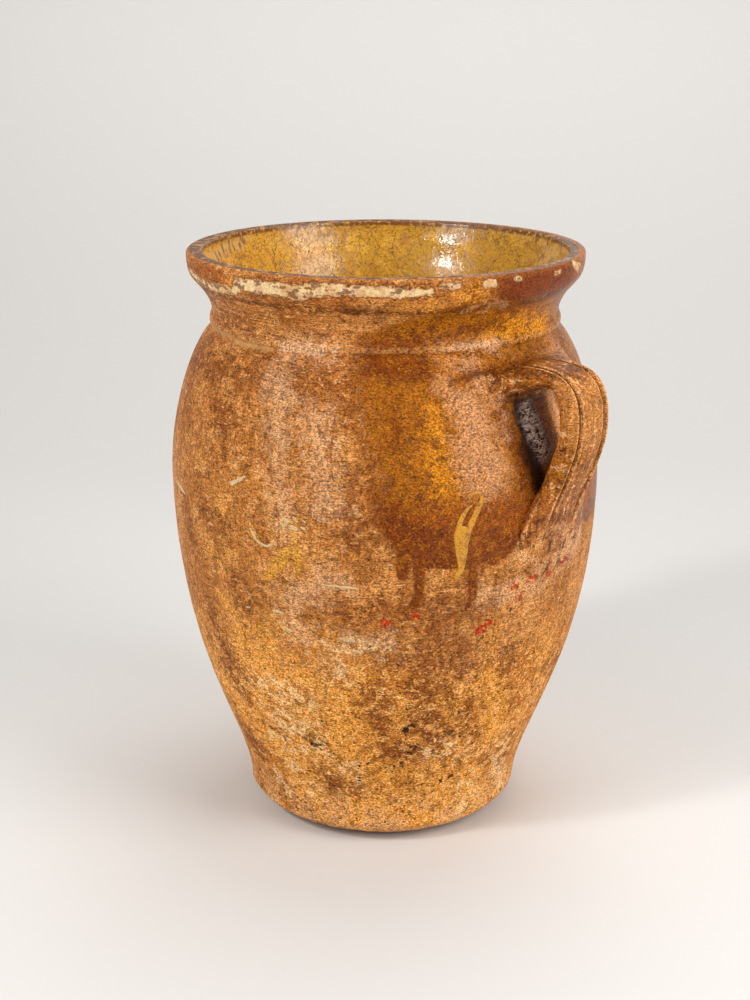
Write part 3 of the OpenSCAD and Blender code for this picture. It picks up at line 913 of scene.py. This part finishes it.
def worn_earthenware(c):
    """Low-fired red earthenware under a thin, uneven amber glaze: brown and speckled round the middle,
    rubbed to dry ochre clay near the foot, and darker and glossier where the glaze ran."""
    # the finest grains of the clay are 0.3 mm, drawn at 0.6 to 1 mm so that they show from a step away
    t, spot, (cloud, patch, other_patch, blotch, flaky, crumb, speck, grit, wheel, streak, scratch) = (
        start_material("worn_earthenware", (
            (55, 70, 2.0), (17, 20, 4.0), (12, 14, 3.0), (6, 6, 4.0), (5.0, 3.6, 6.0), (2.6, 2.0, 4.0),
            (1.4, 0.8, 2.0), (0.9, 0.6, 1.0), (34, 1.1, 3.0), (2.6, 30, 3.0), (7, 0.9, 2.0),
        ))
    )
    place = add(t, "ShaderNodeSeparateXYZ", {0: spot})
    high = place[2]
    across = add(t, "ShaderNodeVectorMath", {
        0: add(t, "ShaderNodeCombineXYZ", {0: place[0], 1: place[1]})[0],
    }, operation="LENGTH")["Value"]
    field = {
        name: add(t, "ShaderNodeAttribute", attribute_name=name)["Fac"]
        for name in (*MARKS, "glaze", "stand", "hollow")
    }
    stand, hollow = field["stand"], field["hollow"]
    # the strap and the clay smeared round it stand proud of the wall
    strap = add(t, "ShaderNodeMapRange", {0: stand, 1: 1.2, 2: 4.2})[0]
    # where several coats lie
    on_strap, on_band, round_neck = (strap, 0.2, 0.9), (high, 0.283, 0.2838), (high, 0.25, 0.264)
    on_land, within_edge = (high, 0.2978, 0.2992), (across, 0.0985, 0.0975)
    # every mark gets a ragged edge from the noises
    ragged = []
    for name, coarse, fine in (
        ("glaze", 5.0, 3.0), ("pools_and_shade", 14.0, 4.0), ("painted_sheen", 20.0, 16.0), ("wash", 4.0, 7.0),
        ("cream", 5.0, 4.0), ("pale", 30.0, 24.0), ("gold", 30.0, 26.0), ("stain_and_shade", 34.0, 26.0),
        ("soot", 16.0, 24.0), ("rust", 6.0, 9.0), ("crease", 5.0, 5.0), ("dust_and_shade", 8.0, 6.0),
        ("shade", 6.0, 4.0), ("pressed", 4.0, 3.0),
    ):
        edge = add(t, "ShaderNodeMath", {0: crumb, 1: fine, 2: field[name]}, operation="MULTIPLY_ADD")[0]
        edge = add(t, "ShaderNodeMath", {0: blotch, 1: coarse, 2: edge}, operation="MULTIPLY_ADD")[0]
        ragged.append(add(t, "ShaderNodeMath", {0: edge, 1: (coarse + fine) / 2}, operation="SUBTRACT")[0])
    glaze, pools_and_shade, painted_sheen, wash, cream, pale, gold, stain_and_shade, soot, rust, crease, dust_and_shade, shade, pressed = ragged
    brown = paint_over(t, tuple(c.clay), (
        ("#C98443", [(cloud, 0.44, 0.6)]),
        ("#94561F", [(patch, 0.5, 0.62, 0.7)]),
        ("#D39450", [(other_patch, 0.52, 0.64, 0.6)]),
        ("#E09A48", [(gold, -5.0, 7.0, 0.75)]),
        # dark stains, and painted shade under the neck's ring and under the strap's arch
        ("#854616", [(stain_and_shade, -5.0, 7.0, 0.8)]),
        # paler clay, and painted sheen and highlights where the pale marks stand for them
        ("#DDA878", [(pale, -5.0, 7.0, 0.65)]),
        # turned lines round the neck and upright runs of the brush on the belly
        ("#84440F", [(wheel, 0.52, 0.62, 0.4), round_neck]),
        ("#E0A868", [(wheel, 0.46, 0.36, 0.35), round_neck]),
        ("#8F4E1A", [(streak, 0.54, 0.64, 0.5), (high, 0.262, 0.24)]),
        ("#6E3A16", [(flaky, 0.57, 0.61, 0.55)]),
        ("#DCA46A", [(flaky, 0.42, 0.38, 0.5)]),
        ("#55280A", [(scratch, 0.62, 0.66, 0.6)]),
        ("#E8B67E", [(scratch, 0.35, 0.31, 0.6)]),
    ))
    # towards the foot the glaze is gone: the clay is dry, golden, flaky and stained
    ochre = paint_over(t, linear("#C4782A"), (
        ("#D68E3C", [(cloud, 0.42, 0.58)]),
        ("#9A5819", [(other_patch, 0.5, 0.6, 0.8)]),
        ("#E89C3E", [(gold, -5.0, 6.0, 0.85)]),
        ("#8A4812", [(stain_and_shade, -5.0, 6.0, 0.9)]),
        ("#EEB064", [(flaky, 0.54, 0.58, 0.6)]),
        ("#84480F", [(flaky, 0.43, 0.4, 0.6)]),
        ("#F4C488", [(pale, -3.0, 6.0, 0.75), (blotch, 0.46, 0.54)]),
        ("#E6AC74", [(high, 0.04, 0.01, 0.6), (patch, 0.42, 0.56)]),
        ("#4E2606", [(crumb, 0.61, 0.65, 0.75)]),
        ("#241204", [(crumb, 0.42, 0.38, 0.9), (patch, 0.5, 0.58)]),
        ("#FFD79C", [(speck, 0.6, 0.65, 0.6), (patch, 0.58, 0.44)]),
    ))
    bare = add(t, "ShaderNodeMath", {0: patch, 1: -0.14, 2: high}, operation="MULTIPLY_ADD")[0]
    bare = add(t, "ShaderNodeMath", {0: blotch, 1: -0.06, 2: bare}, operation="MULTIPLY_ADD")[0]
    colour = paint_over(t, brown, ((ochre, [(bare, 0.04, 0.0)]),))
    glazed = paint_over(t, tuple(c.amber), (
        ("#B86C06", [(patch, 0.46, 0.6, 0.7)]),
        ("#74380A", [(blotch, 0.52, 0.64, 0.6)]),
        ("#DC8A14", [(gold, -5.0, 5.0, 0.8)]),
        ("#F09A00", [(gold, -3.0, 5.0, 0.7), (high, 0.262, 0.266)]),
        ("#8A4A0A", [(wheel, 0.52, 0.62, 0.6), (high, 0.235, 0.262)]),
        # it gathered low down, where it is darker and redder
        ("#8E4206", [(high, 0.205, 0.192, 0.8)]),
        (tuple(c.pooled), [(glaze, 12.0, 2.0, 0.8), (high, 0.225, 0.195)]),
        # pooled glaze, and painted shade under the strap's arch and beside the finger gap
        (tuple(c.pooled), [(pools_and_shade, -2.0, 4.0, 0.9)]),
        ("#B06C10", [(flaky, 0.53, 0.63, 0.45)]),
        ("#4A1C00", [(flaky, 0.45, 0.37, 0.6)]),
        # painted sheen: a pale pinkish haze over the glaze
        ("#D69A6A", [(painted_sheen, -5.0, 7.0, 0.72), (high, 0.277, 0.258)]),
        # painted glints: light amber flecks that stand in for highlights on the glaze's bumps
        ("#D4861E", [(crumb, 0.56, 0.63, 0.45)]),
        ("#3C1600", [(crumb, 0.44, 0.38, 0.6)]),
    ))
    # the edge of the glaze is sharp where it ran and soft where it was brushed out
    edge = add(t, "ShaderNodeMapRange", {0: high, 1: 0.17, 2: 0.215, 3: 0.7, 4: 9.0})[0]
    inward = add(t, "ShaderNodeMath", {0: glaze, 1: edge}, operation="DIVIDE")[0]
    colour = paint_over(t, colour, (
        (glazed, [(inward, -1.0, 1.0, 0.94)]),
        ("#B46C2A", [(*on_strap, 0.7), (blotch, 0.35, 0.6)]),
        ("#8A4A1A", [(*on_strap, 0.6), (patch, 0.5, 0.6)]),
        ("#5E2E0C", [(*on_strap, 0.8), (flaky, 0.55, 0.6)]),
        ("#F0B478", [(*on_strap, 0.6), (flaky, 0.42, 0.37)]),
        ("#4E2408", [(*on_strap, 0.7), (streak, 0.57, 0.63)]),
        ("#EDAE70", [(*on_strap, 0.5), (streak, 0.42, 0.36)]),
        # painted highlight on the strap's outer face, between its grooves
        ("#EBA35C", [(stand, 22.0, 27.0, 0.3), (high, 0.256, 0.248), (high, 0.212, 0.228)]),
        ("#D69A34", [(wash, -0.2, 1.2, 0.66)]),
        # painted shade along the crease over the strap's root
        ("#552404", [(crease, -1.2, 1.0, 0.7)]),
        ("#B62E0C", [(rust, -0.9, 0.5, 0.9)]),
        # the rim: dark fired skin on top, a red-brown band at its side, cream slip flaking off it
        # painted shade: a dark line in the groove under the band
        ("#5E2E0C", [(high, 0.2822, 0.2841, 0.7), (high, 0.2868, 0.2854), (crumb, 0.4, 0.52)]),
        ("#A2581C", [(high, 0.2872, 0.289, 0.85), (blotch, 0.4, 0.6)]),
        ("#E0943C", [(gold, -1.5, 2.5, 0.8), (high, 0.284, 0.286)]),
        ("#7A3404", [(high, 0.2855, 0.288, 0.9), (pools_and_shade, -12.0, 6.0)]),
        # painted sheen: a light tan smear under the rim's band
        ("#CC9868", [(pale, -1.0, 4.0, 0.45), (high, 0.28, 0.283), (high, 0.291, 0.288)]),
        ("#7A4C28", [(cream, -1.6, -0.5, 0.8), on_band]),
        ("#E2B078", [(cream, -0.5, 0.0, 0.92), on_band]),
        ("#F5D59E", [(cream, 0.1, 0.6, 0.85), on_band, (patch, 0.42, 0.5)]),
        ("#D9A283", [(cream, -0.2, 0.2, 0.7), on_band, (other_patch, 0.52, 0.58)]),
        ("#7C5434", [(cream, -0.2, 0.2, 0.85), on_band, (flaky, 0.52, 0.56)]),
        ("#D2A068", [(cream, -1.2, 1.2, 0.7), (high, 0.27, 0.267)]),
        (tuple(c.rim_skin), [(*on_land, 0.9), within_edge]),
        ("#B98E62", [(*on_land, 0.7), (blotch, 0.5, 0.6), within_edge]),
        # painted shade: a dark contact line at the very foot, and darker grooves and hollows on the strap
        # and round its joint
        ("#5A2C0C", [(high, 0.0042, 0.0012, 0.75)]),
        ("#4A2408", [(hollow, 0.02, 0.09, 0.75), (strap, 0.0, 0.3)]),
        # painted highlight along the ring under the neck
        ("#F0C098", [(pale, -1.0, 4.0, 0.5), (high, 0.2605, 0.263), (high, 0.269, 0.266)]),
        # lighter on the high edges: rubbed wear, and painted highlights along the ring and the strap's
        # ridges
        ("#D89C60", [(hollow, -0.05, -0.16, 0.4), (crumb, 0.4, 0.52)]),
        ("#ECAC70", [(hollow, -0.03, -0.1, 0.5), on_strap, (crumb, 0.4, 0.52)]),
        # behind the strap: painted shade over the finger gap with dust in its middle, painted lighter, a
        # painted lit patch inside the strap's shade, and darker painted shade along the gap's edges and foot
        ("#3A2410", [(dust_and_shade, -4.5, -0.5, 0.9), (stand, 7.0, 3.0)]),
        ("#FFB878", [(pressed, -2.0, 2.0, 0.9), (stand, 9.0, 5.0)]),
        ("#CBB4A6", [(dust_and_shade, -4.0, 3.0, 0.9), (crumb, 0.6, 0.46), (stand, 5.0, 2.0)]),
        ("#E8D8CC", [(dust_and_shade, -3.0, 3.0, 0.8), (scratch, 0.46, 0.38), (stand, 5.0, 2.0)]),
        ("#241006", [(shade, -2.5, 2.5, 0.9), (stand, 7.0, 3.0)]),
        ("#160D06", [(soot, 4.5, 7.0, 0.85)]),
    ))
    # the grain of the clay makes every colour lighter and darker from crumb to crumb
    grain = 1.05
    for noise_map, low, top, dark, light in (
        (speck, 0.34, 0.66, -0.36, 0.36), (crumb, 0.34, 0.66, 0.26, -0.26), (grit, 0.36, 0.64, -0.44, 0.48),
    ):
        part = add(t, "ShaderNodeMapRange", {0: noise_map, 1: low, 2: top, 3: dark, 4: light})[0]
        grain = add(t, "ShaderNodeMath", {0: part, 1: grain}, operation="ADD")[0]
    grain = paint_over(t, grain, (
        (0.46, [(speck, 0.37, 0.34, 0.8)]),
        (1.0, [(cream, -0.5, 0.0, 0.75)]),
    ))
    colour = add(t, "ShaderNodeVectorMath", {0: colour, 3: grain}, operation="SCALE")[0]
    gloss = paint_over(t, add(t, "ShaderNodeMapRange", {0: high, 1: 0.08, 2: 0.19, 3: 0.62, 4: 0.48})[0], (
        (0.24, [(glaze, -0.6, 1.0)]),
        (0.22, [on_strap]),
        (0.6, [(cream, -0.2, 0.3)]),
        (0.7, [(dust_and_shade, -2.0, 5.0)]),
        (0.62, [(speck, 0.45, 0.34, 0.5)]),
    ))
    # relief in mm: crumbs, pits and soft lumps
    relief = 0.0
    for noise_map, depth in ((crumb, 1.0), (speck, 0.55), (blotch, 0.7)):
        relief = add(t, "ShaderNodeMath", {0: noise_map, 1: depth, 2: relief}, operation="MULTIPLY_ADD")[0]
    end_material(t, colour, gloss, relief, 1.0, **{"Specular IOR Level": 0.12})


def crackled_yellow_glaze(c):
    """Yellow lead glaze, glossy and crazed all over, worn through at the lip: it mirrors the lamps in
    small bright spots, and the crazing breaks them up."""
    t, spot, (cloud, patch, blotch, crumb, speck, streak) = start_material("crackled_yellow_glaze", (
        (45, 45, 2.0), (14, 14, 4.0), (5, 5, 3.0), (2.4, 2.4, 3.0), (1.0, 1.0, 2.0), (3, 16, 3.0),
    ))
    place = add(t, "ShaderNodeSeparateXYZ", {0: spot})
    # thick and olive towards the back and right, thin and golden towards the left
    thick = add(t, "ShaderNodeMath", {0: cloud, 1: 0.12, 2: place[1]}, operation="MULTIPLY_ADD")[0]
    worn = add(t, "ShaderNodeAttribute", attribute_name="worn")["Fac"]
    worn = add(t, "ShaderNodeMath", {0: blotch, 1: 6.0, 2: worn}, operation="MULTIPLY_ADD")[0]
    # crazing: cells 3 mm across, with a few long cracks between plates of 13 mm
    shift = add(t, "ShaderNodeTexNoise", {"Vector": spot, "Scale": 260.0, "Detail": 1.0})[1]
    shift = add(t, "ShaderNodeVectorMath", {0: shift, 3: 0.003}, operation="SCALE")[0]
    wander = add(t, "ShaderNodeVectorMath", {0: spot, 1: shift}, operation="ADD")[0]
    crack = {
        name: add(t, "ShaderNodeTexVoronoi", {
            "Vector": wander, "Scale": 1 / (size * MM), "Randomness": 1.0,
        }, feature="DISTANCE_TO_EDGE")["Distance"]
        for name, size in (("fine", 2.8), ("long", 12.0))
    }
    colour = paint_over(t, tuple(c.inside), (
        (tuple(c.inside_deep), [(thick, 0.06, 0.14, 0.8)]),
        ("#E8AE3E", [(patch, 0.5, 0.62, 0.7)]),
        ("#A8681C", [(blotch, 0.52, 0.64, 0.6)]),
        ("#9A6020", [(streak, 0.5, 0.62, 0.65), (thick, 0.08, -0.02)]),
        ("#5C3A0C", [(crack["fine"], 0.085, 0.0, 0.5), (patch, 0.3, 0.5)]),
        ("#4A2E0C", [(crack["long"], 0.02, 0.0, 0.75), (cloud, 0.38, 0.5)]),
        ("#43290C", [(speck, 0.42, 0.34, 0.8)]),
        ("#D6A660", [(worn, 2.0, 3.6, 0.7), (crumb, 0.36, 0.5)]),
        ("#5A3418", [(worn, 2.0, 3.6, 0.7), (streak, 0.54, 0.62)]),
        ("#6A3C1C", [(place[2], 0.2968, 0.2982, 0.9), (crumb, 0.36, 0.5)]),
    ))
    gloss = paint_over(t, 0.07, (
        (0.5, [(worn, 2.6, 3.6)]),
        (0.34, [(blotch, 0.48, 0.62)]),
    ))
    relief = add(t, "ShaderNodeMath", {0: blotch, 1: 0.5}, operation="MULTIPLY")[0]
    relief = add(t, "ShaderNodeMath", {0: crumb, 1: 0.2, 2: relief}, operation="MULTIPLY_ADD")[0]
    relief = paint_over(t, relief, ((0.0, [(crack["fine"], 0.05, 0.0, 0.15)]),))
    end_material(t, colour, gloss, relief, 0.5)


def raised_slip(name, body, spots, gloss):
    """Slip trailed on thick: one soft colour that is a little dirty, with pinholes."""
    t, _, (blotch, crumb, speck) = start_material(name, ((3, 3, 3.0), (1.6, 1.6, 2.0), (0.8, 0.8, 2.0)))
    colour = paint_over(t, body, (
        (spots, [(blotch, 0.5, 0.66, 0.6)]),
        (spots, [(speck, 0.44, 0.34, 0.9)]),
    ))
    end_material(t, colour, gloss, crumb, 0.5)


class JAR_OT_mix_finishes(bpy.types.Operator):
    """Mixes the clay, glaze and slip materials"""
    bl_idname = "jar.mix_finishes"
    bl_label = "Mix the finishes"

    def execute(self, context):
        c = context.scene.jar_colours
        worn_earthenware(c)
        crackled_yellow_glaze(c)
        raised_slip("ochre_slip", tuple(c.slip), linear("#7A4408"), 0.32)
        raised_slip("cream_slip", tuple(c.cream), linear("#A98A5C"), 0.6)
        return {"FINISHED"}


# ---- stage


class JAR_OT_set_stage(bpy.types.Operator):
    """Sets the pale floor and backdrop, the soft lights and the camera"""
    bl_idname = "jar.set_stage"
    bl_label = "Set the stage"

    def execute(self, context):
        scene, c = context.scene, context.scene.jar_colours
        # smooth matt paint, pale and without shine, so that only shadows show on it
        t, spot, _ = start_material("plain_table")
        # painted light: the sheet is painted lighter as it rises, from the floor colour to the backdrop
        # colour, for a backdrop brighter towards the top
        rise = add(t, "ShaderNodeSeparateXYZ", {0: spot})[2]
        sheet_tone = paint_over(t, tuple(c.floor), ((tuple(c.backdrop), [(rise, 0.0, 0.4)]),))
        out = add(t, "ShaderNodeBsdfDiffuse", {0: sheet_tone})
        add(t, "ShaderNodeOutputMaterial", {0: out[0]})
        front = Vector((math.sin(RIGHT), -math.cos(RIGHT), 0))
        right = Vector((math.cos(RIGHT), math.sin(RIGHT), 0))
        # one sheet, a hair below the foot: flat under the jar, then swept up behind it in a wide bend
        start, bend = 0.6, 0.9
        run = [(d, 0.0) for d in (-3.0, -1.0, 0.0, start)]
        for a in np.radians(np.linspace(4, 90, 24)):
            run.append((start + bend * math.sin(a), bend * (1 - math.cos(a))))
        run += [(start + bend, 1.6), (start + bend, 3.0)]
        points = [
            tuple(right * x - front * d + Vector((0, 0, z - 0.0002))) for d, z in run for x in (-3.0, 3.0)
        ]
        sheet = mesh_object("table_and_backdrop", points,
                            [(2 * i, 2 * i + 1, 2 * i + 3, 2 * i + 2) for i in range(len(run) - 1)])
        sheet.data.materials.append(bpy.data.materials["plain_table"])
        sheet.data.shade_smooth()

        # the camera stands and looks down as the one that took the photograph
        ahead, aside, up, tilt = 0.7938, -0.0043, 0.4203, math.radians(17.82)
        eye = front * ahead + right * aside + Vector((0, 0, up))
        look = Vector((0, 0, -1)) * math.sin(tilt) - front * math.cos(tilt)
        lens = bpy.data.cameras.new("camera")
        lens.lens, lens.sensor_width, lens.sensor_fit = 56.47, 36.0, "AUTO"
        lens.clip_start, lens.clip_end = 0.01, 20
        camera = bpy.data.objects.new("camera", lens)
        camera.location = eye
        camera.rotation_euler = look.to_track_quat("-Z", "Y").to_euler()
        scene.collection.objects.link(camera)
        scene.camera = camera

        # the front lamps stand where the glaze inside mirrors them: broad ones and a small bright one
        aim = Vector((0, 0, 0.28))
        for name, turn, rise, away, wide, tall, power in (
            ("soft_right", 58, 24, 1.3, 0.7, 1.05, 13.0),
            ("soft_left", -51, 24, 1.3, 0.45, 0.7, 5.5),
            ("small_left", -53, 37, 1.3, 0.14, 0.2, 5.5),
            ("soft_top", 150, 70, 1.7, 1.2, 1.2, 14.0),
        ):
            a, e = math.radians(turn), math.radians(rise)
            place = aim + (front * math.cos(a) * math.cos(e) + right * math.sin(a) * math.cos(e)
                           + Vector((0, 0, math.sin(e)))) * away
            light = bpy.data.lights.new(name, "AREA")
            light.shape, light.size, light.size_y, light.energy = "RECTANGLE", wide, tall, power
            lamp = bpy.data.objects.new(name, light)
            lamp.location = place
            lamp.rotation_euler = (aim - place).to_track_quat("-Z", "Y").to_euler()
            scene.collection.objects.link(lamp)
        world = bpy.data.worlds.new("soft_room")
        world.use_nodes = True
        world.node_tree.nodes.clear()
        sky = add(world.node_tree, "ShaderNodeBackground", {0: linear("#F4F2EE"), 1: 0.3})
        add(world.node_tree, "ShaderNodeOutputWorld", {0: sky[0]})
        scene.world = world
        scene.view_settings.view_transform = "Standard"
        return {"FINISHED"}


# ---- panel, registration and the order of work

OPERATORS = (
    JAR_OT_mix_finishes, JAR_OT_turn_wall, JAR_OT_pull_strap, JAR_OT_join_clay, JAR_OT_lay_slip,
    JAR_OT_map_finishes, JAR_OT_set_stage,
)


class JAR_PT_sidebar(bpy.types.Panel):
    bl_idname = "JAR_PT_sidebar"
    bl_label = "Terracotta jar"
    bl_space_type = "VIEW_3D"
    bl_region_type = "UI"
    bl_category = "Jar"

    def draw(self, context):
        for group in (context.scene.jar_shape, context.scene.strap_shape, context.scene.jar_colours):
            box = self.layout.box()
            for key in group.__annotations__:
                box.prop(group, key)
        for kind in OPERATORS:
            self.layout.operator(kind.bl_idname)


CLASSES = (JarShape, StrapShape, JarColours, *OPERATORS, JAR_PT_sidebar)


def register():
    for kind in CLASSES:
        bpy.utils.register_class(kind)
    bpy.types.Scene.jar_shape = bpy.props.PointerProperty(type=JarShape)
    bpy.types.Scene.strap_shape = bpy.props.PointerProperty(type=StrapShape)
    bpy.types.Scene.jar_colours = bpy.props.PointerProperty(type=JarColours)


def unregister():
    for name in ("jar_shape", "strap_shape", "jar_colours"):
        delattr(bpy.types.Scene, name)
    for kind in reversed(CLASSES):
        bpy.utils.unregister_class(kind)


def main():
    register()
    bpy.ops.jar.mix_finishes()
    bpy.ops.jar.turn_wall()
    bpy.ops.jar.pull_strap()
    bpy.ops.jar.join_clay()
    bpy.ops.jar.lay_slip()
    bpy.ops.jar.map_finishes()
    bpy.ops.jar.set_stage()


if __name__ == "__main__":
    main()
